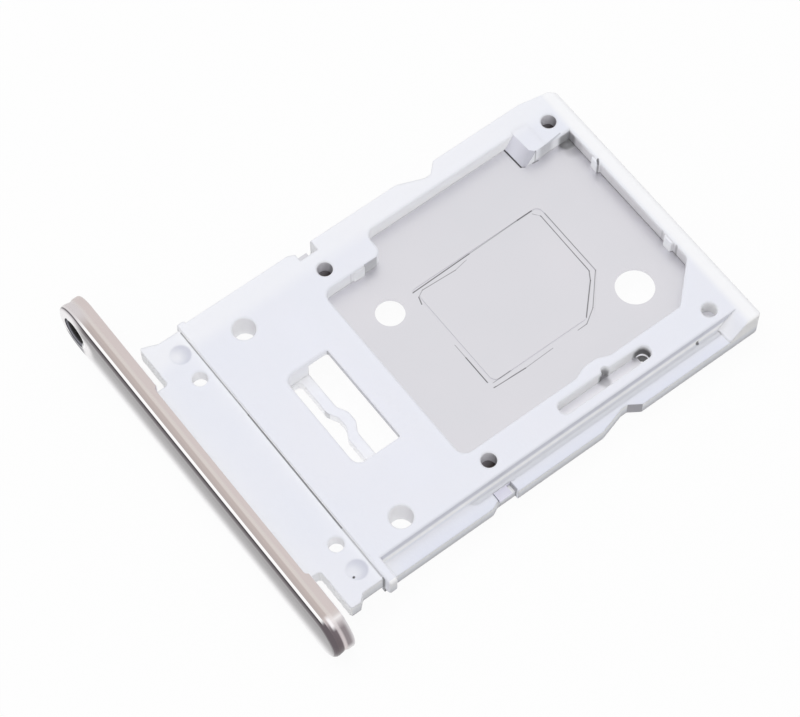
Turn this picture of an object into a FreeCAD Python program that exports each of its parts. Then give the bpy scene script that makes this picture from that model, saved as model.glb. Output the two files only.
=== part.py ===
"""Double-sided SIM card tray: a metal faceplate, a moulded frame and a sheet-metal support plate.

+X runs along the faceplate, +Y is the way the tray goes into the phone, and +Z is up.
It is drawn from a datum on the frame's centre plane, at the faceplate's rear face and on the surface
that the tray lies on. It is then moved so that the origin is the middle of its box's underside.
All sizes are in millimetres.
"""
import FreeCAD, Part
import math
import os

# Card that each pocket holds
CARD_LENGTH = 12.3
CARD_WIDTH = 8.8
CARD_THICKNESS = 0.67
CARD_CORNER = 1.65
CARD_PLAY = 0.2
CARD_SUNK = 0.07

# Faceplate
FACE_LEFT = 10.5
FACE_RIGHT = 7.85
FACE_HEIGHT = 2.36
FACE_DEPTH = 0.96
FACE_FRONT_ROUND = 0.2
FACE_REAR_ROUND = 0.1
FACE_ROUND_STEPS = 4
FACE_WAIST = 0.05
FACE_WAIST_AT = 0.43
FACE_WAIST_WIDTH = 0.26
EJECT_RADIUS = 0.5
EJECT_CHAMFER = 0.13
SEAT_HALF = 4.95
SEAT_DEPTH = 0.16
SEAT_CORNER = 0.15

# Tongue of the faceplate, inside the moulding
TONGUE_THICKNESS = 0.32
TONGUE_ROOT_IN = 0.55
TONGUE_SIDE_COVER = 0.38
TONGUE_SHOULDER = 1.0
TONGUE_UNDER_RIB = 0.17
TONGUE_CORNER = 0.2
TONGUE_KEY_MARGIN = 0.28

# Frame, with heights measured down from its top
FRAME_TOP = 2.0
FRAME_THICKNESS = 1.4
RAIL_WIDTH = 2.2
FAR_WALL = 0.76
TOP_EDGE = 0.1
BOTTOM_EDGE = 0.04
FAR_ROUND = 0.3
FAR_CORNER = 0.3
TAPER_LENGTH = 1.4
TAPER_IN = 0.26
TAPER_ROUND = 0.5
TIP_CUT = 0.3
TIP_ROUND = 0.15
LEDGE_IN = 0.77
LEDGE_DOWN = 0.72
LEDGE_FOOT = 0.1
LEDGE_END = 1.62
LEDGE_END_ROUND = 0.15
LEDGE_RAMP = 0.75
LEDGE_RAMP_ROUND = 0.5

# Neck between the frame and the faceplate
NECK_IN = 0.07
NECK_DOWN = 0.2
NECK_THICKNESS = 0.75
NECK_FRONT = 0.5
NECK_ROUND = 0.15
SHOULDER_OUT = 0.26
SHOULDER_LEFT_LENGTH = 0.1
SHOULDER_LEFT_FLARE = 0.65
SHOULDER_RIGHT_LENGTH = 0.46
SHOULDER_RIGHT_FLARE = 0.28
SHOULDER_ROUND = 0.1
NECK_HOLE_RADIUS = 0.31
NECK_HOLE_IN = 2.21
NECK_HOLE_Y = 1.64
DIMPLE_RADIUS = 0.46
DIMPLE_DEPTH = 0.13
DIMPLE_IN = 0.9

# Stop rib across the front of the frame
RIB_FRONT = 2.23
RIB_WIDTH = 0.36
RIB_OUT_LEFT = 0.15
RIB_OUT_RIGHT = 0.35
RIB_HEIGHT = 1.1
RIB_CORNER = 0.3
RIB_TOP_CORNER = 0.18
RIB_EDGE = 0.08

# Upper card pocket
POCKET_NEAR = 7.64
POCKET_SIDE_ROOM = 1.16
POCKET_CORNER = 0.45
POCKET_CUT_EASE = 0.1
POCKET_CUT_ROUND = 0.3
NEAR_LUG_LENGTH = 2.97
NEAR_LUG_ROUND = 0.4
FAR_LUG_LENGTH = 1.9
FAR_LUG_SLOPE = 0.5
FAR_LUG_ROUND = 0.15
RIM = 0.05
UNDER_RIM = 0.1
RELIEF_RADIUS = 0.34
RELIEF_IN = 0.13
FAR_NUB_PROUD = 0.13
FAR_NUB_WIDTH = 0.7
FAR_NUB_XS = (-2.74, 1.86)
LUG_NUB_PROUD = 0.07
LUG_NUB_WIDTH = 0.8
LUG_NUB_AT = 1.8
NUB_ROUND = 0.1
NUB_FLAT = 0.55
NUB_SUNK = 0.1

# Spring beam beside the upper pocket
SPRING_WALL = 0.41
SPRING_SLOT = 0.6
SPRING_SLOT_START = 4.2
SPRING_SLOT_LENGTH = 4.5
SPRING_SLOT_ROUND = 0.27
SPRING_SLOT_WELL = 0.38
SPRING_NICK_RADIUS = 0.17
SPRING_NICK_AT = 6.7
SPRING_BUMP = 0.22
SPRING_BUMP_AT = 6.45
SPRING_BUMP_LENGTH = 1.7
BUMP_RAMP = 0.32
BUMP_ROUND = 0.25

# Window over the lower pocket's spring beam
WINDOW_HALF = 2.35
WINDOW_NEAR = 4.19
WINDOW_WIDTH = 2.08
WINDOW_CORNER = 0.4
WINDOW_FAR_CORNER = 0.12
SKIN = 0.3
BEAM_NEAR = 4.89
BEAM_WIDTH = 0.46
BEAM_DOWN = 1.0
BEAM_BUMP = 0.25
BEAM_BUMP_X = 0.15
BEAM_BUMP_LENGTH = 1.4
BEAM_SLOT_LEFT = 2.27
BEAM_SLOT_RIGHT = 2.4
BEAM_ROOT_ROUND = 0.2

# Notches and holes
HOLE_RADIUS = 0.48
HOLE_IN = 1.63
HOLE_Y = 4.24
PIN_RADIUS = 0.32
PIN_IN = 1.39
PIN_NEAR_RIGHT_IN = 1.49
PIN_NEAR_Y = 8.36
PIN_FAR_LEFT_IN = 1.2
PIN_FAR_RIGHT_IN = 1.6
DETENT_LEFT_DEPTH = 0.48
DETENT_RIGHT_DEPTH = 0.34
DETENT_START = 12.85
DETENT_RAMP = 1.2
DETENT_FLAT = 0.3
DETENT_RETURN = 0.5
DETENT_ENTRY_ROUND = 0.6
DETENT_ROUND = 0.1
TAB_NOTCH_Y = 7.8
TAB_NOTCH_LENGTH = 0.86
TAB_NOTCH_DEPTH = 0.52
TAB_NOTCH_UNDER = 0.1
TAB_RECESS = 0.17
TAB_RECESS_RAMP = 0.35

# Support plate
PLATE_THICKNESS = 0.15
PLATE_SIDE_COVER = 0.5
PLATE_NEAR = 6.8
PLATE_FAR_COVER = 0.25
PLATE_CORNER = 0.4
PLATE_COVER = 0.2
TAB_WIDTH = 0.6
TAB_NEAR_GAP = 0.04
TAB_LEFT_SHORT = 0.02
TAB_RIGHT_SHORT = 0.12
PILOT_NEAR_X = -2.49
PILOT_NEAR_IN = 1.83
PILOT_NEAR_RADIUS = 0.6125
PILOT_FAR_X = 2.46
PILOT_FAR_IN = 2.21
PILOT_FAR_RADIUS = 0.8155
PILOT_CLEARANCE = 0.3
OUTLINE_X = -0.07
OUTLINE_START = 2.98
OUTLINE_WIDTH = 5.4
OUTLINE_LENGTH = 6.55
OUTLINE_CUT_X = 1.65
OUTLINE_CUT_Y = 1.45
OUTLINE_CORNER = 0.3
OUTLINE_LINE = 0.22
OUTLINE_DEPTH = 0.03

# Sizes that follow
POCKET_WIDTH = CARD_WIDTH + CARD_PLAY
POCKET_LENGTH = CARD_LENGTH + CARD_PLAY
POCKET_DEPTH = CARD_THICKNESS + CARD_SUNK
POCKET_FAR = POCKET_NEAR + POCKET_LENGTH
POCKET_RIGHT = POCKET_WIDTH / 2
POCKET_LEFT = -POCKET_RIGHT - POCKET_SIDE_ROOM
FRAME_BOTTOM = FRAME_TOP - FRAME_THICKNESS
FRAME_HALF = POCKET_RIGHT + RAIL_WIDTH
FRAME_FAR = POCKET_FAR + FAR_WALL
RIB_LEFT = -FRAME_HALF - RIB_OUT_LEFT
RIB_RIGHT = FRAME_HALF + RIB_OUT_RIGHT
NECK_HALF = FRAME_HALF - NECK_IN
NECK_HOLE_X = NECK_HALF - NECK_HOLE_IN
DIMPLE_X = NECK_HALF - DIMPLE_IN
HOLE_X = FRAME_HALF - HOLE_IN
PIN_X = FRAME_HALF - PIN_IN
PIN_NEAR_RIGHT_X = FRAME_HALF - PIN_NEAR_RIGHT_IN
TONGUE_HALF = NECK_HALF - TONGUE_SIDE_COVER
TONGUE_ROOT_HALF = SEAT_HALF - TONGUE_ROOT_IN
TONGUE_REACH = RIB_FRONT + TONGUE_UNDER_RIB
PLATE_HALF = FRAME_HALF - PLATE_SIDE_COVER
PILOT_NEAR = (PILOT_NEAR_X, POCKET_NEAR + PILOT_NEAR_IN, PILOT_NEAR_RADIUS)
PILOT_FAR = (PILOT_FAR_X, POCKET_FAR - PILOT_FAR_IN, PILOT_FAR_RADIUS)
OUTLINE_Y = POCKET_NEAR + OUTLINE_START
NECK_TOP = FRAME_TOP - NECK_DOWN
NECK_BOTTOM = NECK_TOP - NECK_THICKNESS
PLATE_TOP = FRAME_TOP - POCKET_DEPTH
PLATE_BOTTOM = PLATE_TOP - PLATE_THICKNESS
LEDGE_TOP = FRAME_TOP - LEDGE_DOWN
BEAM_TOP = FRAME_TOP - BEAM_DOWN
LOWER_NEAR = BEAM_NEAR + BEAM_WIDTH
LOWER_FAR = LOWER_NEAR + POCKET_LENGTH
FACE_RADIUS = FACE_HEIGHT / 2
PAST = 1.0
TINY = 1e-6

UP = FreeCAD.Vector(0, 0, 1)
AWAY = FreeCAD.Vector(0, 1, 0)
ALONG = FreeCAD.Vector(1, 0, 0)


def point(x, y, z=0.0):
    return FreeCAD.Vector(x, y, z)


def outline(corners):
    """Closed wire at z 0 through (x, y, radius) corners, each rounded by a tangent arc."""
    count = len(corners)
    ends = []
    for i in range(count):
        x, y, radius = corners[i]
        here = point(x, y)
        before = point(*corners[i - 1][:2]) - here
        after = point(*corners[(i + 1) % count][:2]) - here
        before.normalize()
        after.normalize()
        half = before.getAngle(after) / 2
        reach = radius / math.tan(half)
        middle = before + after
        if radius > 0:
            middle.normalize()
            crest = here + middle * (radius / math.sin(half) - radius)
            ends.append((here + before * reach, crest, here + after * reach))
        else:
            ends.append((here, None, here))
    edges = []
    for i in range(count):
        start, crest, end = ends[i]
        if crest is not None:
            edges.append(Part.Arc(start, crest, end).toShape())
        following = ends[(i + 1) % count][0]
        if (following - end).Length > TINY:
            edges.append(Part.LineSegment(end, following).toShape())
    return Part.Wire(edges)


def slab(wire, low, high):
    """The area inside a wire drawn at z 0, from one height to another."""
    solid = Part.Face(wire).extrude(UP * (high - low))
    solid.translate(UP * low)
    return solid


def block(x0, y0, x1, y1, low, high, radius=0.0):
    corners = [(x0, y0, radius), (x1, y0, radius), (x1, y1, radius), (x0, y1, radius)]
    return slab(outline(corners), low, high)


def post(x, y, radius, low, high):
    return Part.makeCylinder(radius, high - low, point(x, y, low), UP)


def flared_post(x, y, radius, low, high):
    """Cutter for a round hole whose upper rim is broken by a small chamfer."""
    mouth = Part.makeCone(radius, radius + 2 * RIM, 2 * RIM, point(x, y, high - RIM), UP)
    return post(x, y, radius, low, high + PAST).fuse(mouth)


def through_hole(x, y, radius, low, high):
    """Cutter for a round hole with a small chamfer above and a wider one below."""
    mouth = Part.makeCone(radius + 2 * UNDER_RIM, radius, 2 * UNDER_RIM, point(x, y, low - UNDER_RIM), UP)
    return flared_post(x, y, radius, low - PAST, high).fuse(mouth)


def flare(narrow, wide):
    """Cutter that breaks an opening's top edge, between its outline and one grown by two rims."""
    low = outline(narrow)
    low.translate(UP * (FRAME_TOP - RIM))
    high = outline(wide)
    high.translate(UP * (FRAME_TOP + RIM))
    return Part.makeLoft([low, high], True, True)


def flared_slab(corners_at, low):
    """Cutter for an opening in the frame's top, from one height up, with its rim broken."""
    hole = slab(outline(corners_at(0.0)), low, FRAME_TOP + PAST)
    return hole.fuse(flare(corners_at(0.0), corners_at(2 * RIM)))


def upright(shape):
    """A shape drawn flat with (Y, Z) as its plan, turned so that its height runs along X."""
    return shape.rotate(point(0, 0), point(1, 1, 1), 120)


def mirrored(shape):
    return shape.mirror(point(0, 0), ALONG)


def both_sides(shape):
    return shape.fuse(mirrored(shape))


def bump_run(edge, proud, middle, length):
    """Corners of an edge that swells into a low bump, as (place along it, height, radius)."""
    ramp = length * BUMP_RAMP
    radius = length * BUMP_ROUND
    start = middle - length / 2
    end = middle + length / 2
    return [(start, edge, radius), (start + ramp, edge + proud, radius), (end - ramp, edge + proud, radius),
            (end, edge, radius)]


def nub(middle, face, proud, width):
    """Corners of a small nub that stands out of a wall, as (place along it, height, radius)."""
    half = width / 2
    flat = half * NUB_FLAT
    sunk = math.copysign(NUB_SUNK, proud)
    return [(middle - half, face - sunk, 0), (middle - flat, face + proud, NUB_ROUND),
            (middle + flat, face + proud, NUB_ROUND), (middle + half, face - sunk, 0)]


def turned(corners):
    """The same corners with X and Y exchanged, for a wall that runs along Y."""
    return [(y, x, radius) for x, y, radius in corners]


def stadium(y, inset):
    """Upright wire of the faceplate's outline, set in by a margin, at one depth."""
    radius = FACE_RADIUS - inset
    left = FACE_RADIUS - FACE_LEFT
    right = FACE_RIGHT - FACE_RADIUS
    low = FACE_RADIUS - radius
    high = FACE_RADIUS + radius
    top = Part.LineSegment(point(left, y, high), point(right, y, high))
    end = Part.Arc(point(right, y, high), point(right + radius, y, FACE_RADIUS), point(right, y, low))
    bottom = Part.LineSegment(point(right, y, low), point(left, y, low))
    start = Part.Arc(point(left, y, low), point(left - radius, y, FACE_RADIUS), point(left, y, high))
    return Part.Wire([top.toShape(), end.toShape(), bottom.toShape(), start.toShape()])


def quarter_round(radius):
    """Steps of a rounded edge, as (distance in from the flat face, distance in from the side)."""
    turns = [math.pi / 2 * i / FACE_ROUND_STEPS for i in range(FACE_ROUND_STEPS + 1)]
    return [(radius * (1 - math.sin(turn)), radius * (1 - math.cos(turn))) for turn in turns]


def face_body():
    """Front bar: a shallow waist round its side, and rounded front and rear edges."""
    waist = FACE_WAIST_AT
    half = FACE_WAIST_WIDTH / 2
    rear = reversed(quarter_round(FACE_REAR_ROUND))
    front = [(FACE_DEPTH - depth, inset) for depth, inset in quarter_round(FACE_FRONT_ROUND)]
    steps = [*rear, (waist - half, 0.0), (waist, FACE_WAIST), (waist + half, FACE_WAIST / 2), *front]
    return Part.makeLoft([stadium(-depth, inset) for depth, inset in steps], True, True)


def eject_hole():
    """Cutter for the eject-pin hole, with a chamfer at its mouth."""
    x = FACE_RADIUS - FACE_LEFT
    length = FACE_DEPTH + 2 * PAST
    through = Part.makeCylinder(EJECT_RADIUS, length, point(x, -FACE_DEPTH - PAST, FACE_RADIUS), AWAY)
    mouth = Part.makeCone(EJECT_RADIUS + EJECT_CHAMFER, EJECT_RADIUS, EJECT_CHAMFER,
                          point(x, -FACE_DEPTH, FACE_RADIUS), AWAY)
    return through.fuse(mouth)


def seat_cut():
    """Recess in the faceplate's rear face that the neck enters."""
    side = SEAT_HALF
    deep = -SEAT_DEPTH
    corners = [(-side, PAST, 0), (-side, deep, SEAT_CORNER), (side, deep, SEAT_CORNER), (side, PAST, 0)]
    return slab(outline(corners), -PAST, FACE_HEIGHT + PAST)


def tongue():
    """Flat T-shaped tongue behind the faceplate, with two holes that the plastic fills."""
    middle = NECK_TOP - NECK_THICKNESS / 2
    low = middle - TONGUE_THICKNESS / 2
    high = middle + TONGUE_THICKNESS / 2
    root = TONGUE_ROOT_HALF
    wide = TONGUE_HALF
    start = -SEAT_DEPTH
    corner = TONGUE_CORNER
    right = [(root, start, 0), (root, TONGUE_SHOULDER, corner), (wide, TONGUE_SHOULDER, corner),
             (wide, TONGUE_REACH, corner)]
    left = [(-x, y, radius) for x, y, radius in reversed(right)]
    blade = slab(outline(right + left), low, high)
    key = post(NECK_HOLE_X, NECK_HOLE_Y, NECK_HOLE_RADIUS + TONGUE_KEY_MARGIN, low - PAST, high + PAST)
    return blade.cut(both_sides(key))


def make_faceplate():
    bar = face_body().cut(eject_hole()).cut(seat_cut())
    return bar.fuse(tongue()).removeSplitter()


def card_outline_groove():
    """Shallow groove on the support plate that shows which way round the card lies."""
    def ring(inset):
        x0 = OUTLINE_X - OUTLINE_WIDTH / 2 + inset
        x1 = OUTLINE_X + OUTLINE_WIDTH / 2 - inset
        y0 = OUTLINE_Y + inset
        y1 = OUTLINE_Y + OUTLINE_LENGTH - inset
        radius = OUTLINE_CORNER
        corners = [(x0, y0, radius), (x1, y0, radius), (x1, y1 - OUTLINE_CUT_Y, radius),
                   (x1 - OUTLINE_CUT_X, y1, radius), (x0, y1, radius)]
        return slab(outline(corners), PLATE_TOP - OUTLINE_DEPTH, PLATE_TOP + PAST)
    return ring(0.0).cut(ring(OUTLINE_LINE))


def spring_slot_run():
    """Where the spring slot starts and ends, and its two sides."""
    start = POCKET_NEAR + SPRING_SLOT_START
    inner = POCKET_RIGHT + SPRING_WALL
    return start, start + SPRING_SLOT_LENGTH, inner, inner + SPRING_SLOT


def sheet_blank():
    """The sheet before it is pierced, with its two carrier tabs."""
    far = FRAME_FAR - PLATE_FAR_COVER
    sheet = block(-PLATE_HALF, PLATE_NEAR, PLATE_HALF, far, PLATE_BOTTOM, PLATE_TOP, PLATE_CORNER)
    left = TAB_LEFT_SHORT - FRAME_HALF
    right = FRAME_HALF - TAB_RIGHT_SHORT
    near = TAB_NOTCH_Y + TAB_NEAR_GAP
    return sheet.fuse(block(left, near, right, near + TAB_WIDTH, PLATE_BOTTOM, PLATE_TOP))


def make_support_plate():
    sheet = sheet_blank()
    for x, y, radius in (PILOT_NEAR, PILOT_FAR):
        sheet = sheet.cut(post(x, y, radius, PLATE_BOTTOM - PAST, PLATE_TOP + PAST))
    relief = post(RELIEF_IN - POCKET_RIGHT, POCKET_FAR - RELIEF_IN, RELIEF_RADIUS, PLATE_BOTTOM, PLATE_TOP)
    return sheet.cut(relief).cut(spring_well()).cut(card_outline_groove()).removeSplitter()


def far_left_corner():
    """Tapered and clipped far corner, the same on the upper and the lower half."""
    side = -FRAME_HALF
    tip = side + TAPER_IN
    return [(tip + TIP_CUT, FRAME_FAR, TIP_ROUND), (tip, FRAME_FAR - TIP_CUT, TIP_ROUND),
            (side, FRAME_FAR - TIP_CUT - TAPER_LENGTH, TAPER_ROUND)]


def rim_edges(body, height):
    """Edges at one height, without the one that the stop rib hides."""
    boxes = [(edge, edge.BoundBox) for edge in body.Edges]
    level = [(edge, box) for edge, box in boxes if box.ZLength < TINY and abs(box.ZMin - height) < TINY]
    return [edge for edge, box in level if box.YMax > RIB_FRONT + TINY]


def upper_half():
    """Part above the ledge: full width on the left, stepped in on the right."""
    step = FRAME_HALF - LEDGE_IN
    end = FRAME_FAR - LEDGE_END
    corners = [(-FRAME_HALF, RIB_FRONT, 0), (step, RIB_FRONT, 0), (step, end, LEDGE_END_ROUND),
               (FRAME_HALF, end, LEDGE_END_ROUND), (FRAME_HALF, FRAME_FAR, FAR_CORNER)]
    body = slab(outline(corners + far_left_corner()), LEDGE_TOP, FRAME_TOP)
    return body.makeFillet(TOP_EDGE, rim_edges(body, FRAME_TOP))


def lower_half():
    corners = [(-FRAME_HALF, RIB_FRONT, 0), (FRAME_HALF, RIB_FRONT, 0), (FRAME_HALF, FRAME_FAR, FAR_CORNER)]
    body = slab(outline(corners + far_left_corner()), FRAME_BOTTOM, LEDGE_TOP)
    return body.makeChamfer(BOTTOM_EDGE, rim_edges(body, FRAME_BOTTOM))


def ledge_foot():
    """Small fillet where the ledge meets the wall beside it."""
    x = FRAME_HALF - LEDGE_IN
    start = RIB_FRONT + RIB_WIDTH / 2
    length = FRAME_FAR - LEDGE_END + LEDGE_FOOT - start
    bar = Part.makeBox(LEDGE_FOOT, length, LEDGE_FOOT, point(x, start, LEDGE_TOP))
    axis = point(x + LEDGE_FOOT, start, LEDGE_TOP + LEDGE_FOOT)
    return bar.cut(Part.makeCylinder(LEDGE_FOOT, length, axis, AWAY))


def far_round():
    """Cutter that rounds the top of the end that enters the phone first."""
    side = -FRAME_HALF - PAST
    length = -2 * side
    y = FRAME_FAR - FAR_ROUND
    z = FRAME_TOP - FAR_ROUND
    corner = Part.makeBox(length, FAR_ROUND + PAST, FAR_ROUND + PAST, point(side, y, z))
    kept = Part.makeCylinder(FAR_ROUND, length, point(side, y, z), ALONG)
    return corner.cut(kept)


def ledge_ramp():
    """Cutter above the smooth ramp that leads from the ledge's far end up to the top."""
    start = FRAME_FAR - LEDGE_END
    end = start + LEDGE_RAMP
    near = start - LEDGE_RAMP
    past = end + LEDGE_RAMP
    radius = LEDGE_RAMP_ROUND
    corners = [(near, LEDGE_TOP, 0), (start, LEDGE_TOP, radius), (end, FRAME_TOP, radius),
               (past, FRAME_TOP, 0), (past, FRAME_TOP + PAST, 0), (near, FRAME_TOP + PAST, 0)]
    return upright(slab(outline(corners), FRAME_HALF - LEDGE_IN, FRAME_HALF + PAST))


def stop_rib():
    """Rib across the frame's front, with rounded ends that stand out past the sides."""
    low = FRAME_TOP - RIB_HEIGHT
    corners = [(RIB_LEFT, low, RIB_CORNER), (RIB_RIGHT, low, RIB_CORNER),
               (RIB_RIGHT, FRAME_TOP, RIB_TOP_CORNER), (RIB_LEFT, FRAME_TOP, RIB_TOP_CORNER)]
    bar = Part.Face(outline(corners)).extrude(UP * RIB_WIDTH)
    bar.rotate(point(0, 0), ALONG, 90)
    bar.translate(AWAY * (RIB_FRONT + RIB_WIDTH))
    rims = [e for e in bar.Edges if e.BoundBox.YLength < TINY]
    return bar.makeFillet(RIB_EDGE, rims)


def neck_side(length, flare):
    """Corners of the neck's right side, from the faceplate's seat round the shoulder to the rib."""
    wing = NECK_HALF + SHOULDER_OUT
    back = NECK_FRONT + length
    return [(SEAT_HALF, -SEAT_DEPTH, SEAT_CORNER), (SEAT_HALF, NECK_FRONT, NECK_ROUND),
            (wing, NECK_FRONT, SHOULDER_ROUND), (wing, back, 0),
            (NECK_HALF, back + flare, NECK_ROUND), (NECK_HALF, RIB_FRONT + RIB_WIDTH / 2, 0)]


def neck():
    """Thin flat neck with shoulders, and a middle part that reaches into the faceplate's seat."""
    right = neck_side(SHOULDER_RIGHT_LENGTH, SHOULDER_RIGHT_FLARE)
    left = neck_side(SHOULDER_LEFT_LENGTH, SHOULDER_LEFT_FLARE)
    turned_left = [(-x, y, radius) for x, y, radius in reversed(left)]
    return slab(outline(right + turned_left), NECK_BOTTOM, NECK_TOP)


def dimple():
    """Shallow round dish left by a mould pin."""
    radius = (DIMPLE_RADIUS ** 2 + DIMPLE_DEPTH ** 2) / (2 * DIMPLE_DEPTH)
    ball = Part.makeSphere(radius, point(DIMPLE_X, NECK_HOLE_Y, NECK_TOP - DIMPLE_DEPTH + radius))
    return both_sides(ball)


def pocket_corners(grow):
    """Plan of the upper pocket: card width between the lugs, wider between them on the left."""
    near = POCKET_NEAR - grow
    far = POCKET_FAR + grow
    right = POCKET_RIGHT + grow
    left = POCKET_LEFT - grow
    lug = -right
    near_lug = POCKET_NEAR + NEAR_LUG_LENGTH - grow
    far_lug = POCKET_FAR - FAR_LUG_LENGTH + grow
    bump = turned(bump_run(right, -SPRING_BUMP, POCKET_NEAR + SPRING_BUMP_AT, SPRING_BUMP_LENGTH))
    cut = right - CARD_CORNER + POCKET_CUT_EASE
    return [(lug, near, POCKET_CORNER), (right, near, POCKET_CORNER), *bump,
            (right, far - CARD_CORNER, POCKET_CUT_ROUND), (cut, far, POCKET_CUT_ROUND),
            (lug, far, 0), (lug, far_lug, FAR_LUG_ROUND), (left, far_lug, FAR_LUG_ROUND),
            (left, near_lug, NEAR_LUG_ROUND), (lug, near_lug, NEAR_LUG_ROUND)]


def far_lug_slope():
    """Wedge that slopes the far lug's near face, so that the card slides in under it."""
    y = POCKET_FAR - FAR_LUG_LENGTH
    corners = [point(POCKET_LEFT, y, PLATE_TOP), point(POCKET_LEFT, y + FAR_LUG_SLOPE, FRAME_TOP),
               point(POCKET_LEFT, y, FRAME_TOP)]
    return Part.Face(Part.makePolygon(corners + corners[:1])).extrude(ALONG * POCKET_SIDE_ROOM)


def spring_slot_corners(grow):
    start, end, inner, outer = spring_slot_run()
    radius = SPRING_SLOT_ROUND
    return [(inner - grow, start - grow, radius), (outer + grow, start - grow, radius),
            (outer + grow, end + grow, radius), (inner - grow, end + grow, radius)]


def spring_well():
    """Cutter for the hole right through the tray at the spring slot's far end."""
    start, end, inner, outer = spring_slot_run()
    slot = slab(outline(spring_slot_corners(0.0)), FRAME_BOTTOM - PAST, PLATE_TOP + PAST)
    return slot.common(block(inner, end - SPRING_SLOT_WELL, outer, end, FRAME_BOTTOM - PAST, FRAME_TOP))


def spring_nick():
    """Cutter for a small groove in the spring's outer face, which thins it behind its bump."""
    x = POCKET_RIGHT + SPRING_WALL
    return post(x, POCKET_NEAR + SPRING_NICK_AT, SPRING_NICK_RADIUS, PLATE_TOP, FRAME_TOP + PAST)


def window_corners(grow):
    """Plan of the opening in the top skin, over the lower pocket's spring beam."""
    side = WINDOW_HALF + grow
    near = WINDOW_NEAR - grow
    far = WINDOW_NEAR + WINDOW_WIDTH + grow
    return [(-side, near, WINDOW_CORNER), (side, near, WINDOW_CORNER),
            (side, far, WINDOW_FAR_CORNER), (-side, far, WINDOW_FAR_CORNER)]


def lower_pocket():
    """Card pocket on the underside. Its near wall is the spring beam with its bump."""
    side = POCKET_RIGHT
    bump = bump_run(LOWER_NEAR, BEAM_BUMP, BEAM_BUMP_X, BEAM_BUMP_LENGTH)
    corners = [(-side, LOWER_NEAR, BEAM_ROOT_ROUND), *bump, (side, LOWER_NEAR, BEAM_ROOT_ROUND),
               (side, LOWER_FAR, POCKET_CORNER), (CARD_CORNER - side, LOWER_FAR, POCKET_CUT_ROUND),
               (-side, LOWER_FAR - CARD_CORNER, POCKET_CUT_ROUND)]
    wire = outline(corners)
    under_plate = slab(wire, FRAME_BOTTOM - PAST, PLATE_BOTTOM)
    skin = slab(wire, FRAME_BOTTOM - PAST, FRAME_TOP - SKIN)
    near_zone = block(-side - PAST, 0, side + PAST, PLATE_NEAR - PLATE_COVER, 0, FRAME_TOP)
    x, y, radius = PILOT_FAR
    pilot = post(x, y, radius + PILOT_CLEARANCE, FRAME_BOTTOM - PAST, PLATE_BOTTOM)
    return under_plate.fuse(skin.common(near_zone)).fuse(pilot)


def beam_slot():
    """Slot in front of the lower spring beam, which gives it room to bend."""
    left = -BEAM_SLOT_LEFT
    right = BEAM_SLOT_RIGHT
    bump = bump_run(BEAM_NEAR, BEAM_BUMP, BEAM_BUMP_X, BEAM_BUMP_LENGTH)
    corners = [(left, WINDOW_NEAR, BEAM_ROOT_ROUND), (right, WINDOW_NEAR, BEAM_ROOT_ROUND),
               (right, BEAM_NEAR, BEAM_ROOT_ROUND), *reversed(bump), (left, BEAM_NEAR, BEAM_ROOT_ROUND)]
    return slab(outline(corners), FRAME_BOTTOM - PAST, FRAME_TOP - SKIN)


def detent(side, depth):
    """Notch in one side of the frame, where the phone's spring catches the tray."""
    edge = side * FRAME_HALF
    outside = side * (FRAME_HALF + PAST)
    deep = side * (FRAME_HALF - depth)
    ramp_end = DETENT_START + DETENT_RAMP
    flat_end = ramp_end + DETENT_FLAT
    end = flat_end + DETENT_RETURN
    corners = [(outside, DETENT_START - PAST, 0), (edge, DETENT_START, DETENT_ENTRY_ROUND),
               (deep, ramp_end, DETENT_ROUND), (deep, flat_end, DETENT_ROUND), (edge, end, DETENT_ROUND),
               (outside, end, 0)]
    return slab(outline(corners), FRAME_BOTTOM - PAST, FRAME_TOP + PAST)


def tab_notches():
    """Notches that lay bare the support plate's cut carrier tabs, each in a shallow recess of the side."""
    inner = FRAME_HALF - TAB_NOTCH_DEPTH
    shallow = FRAME_HALF - TAB_RECESS
    outside = FRAME_HALF + PAST
    near = TAB_NOTCH_Y
    far = near + TAB_NOTCH_LENGTH
    notch = block(inner, near, outside, far, PLATE_BOTTOM - TAB_NOTCH_UNDER, FRAME_TOP + PAST)
    corners = [(outside, near - TAB_RECESS_RAMP, 0), (FRAME_HALF, near - TAB_RECESS_RAMP, 0),
               (shallow, near, 0), (shallow, far, 0), (outside, far, 0)]
    return both_sides(notch.fuse(slab(outline(corners), FRAME_BOTTOM - PAST, FRAME_TOP + PAST)))


def pin_holes():
    """Blind holes down and up to the support plate, where mould pins held it."""
    places = [(-PIN_X, PIN_NEAR_Y), (PIN_NEAR_RIGHT_X, PIN_NEAR_Y),
              (-PIN_X, FRAME_FAR - PIN_FAR_LEFT_IN), (PIN_X, FRAME_FAR - PIN_FAR_RIGHT_IN)]
    return [flared_post(x, y, PIN_RADIUS, FRAME_BOTTOM - PAST, FRAME_TOP) for x, y in places]


def pocket_nubs():
    """Two nubs on the pocket's far wall that set the card's end, and one on the near lug that holds it."""
    runs = [nub(x, POCKET_FAR, -FAR_NUB_PROUD, FAR_NUB_WIDTH) for x in FAR_NUB_XS]
    runs.append(turned(nub(POCKET_NEAR + LUG_NUB_AT, -POCKET_RIGHT, LUG_NUB_PROUD, LUG_NUB_WIDTH)))
    return [slab(outline(run), PLATE_TOP, FRAME_TOP - TOP_EDGE) for run in runs]


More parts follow.
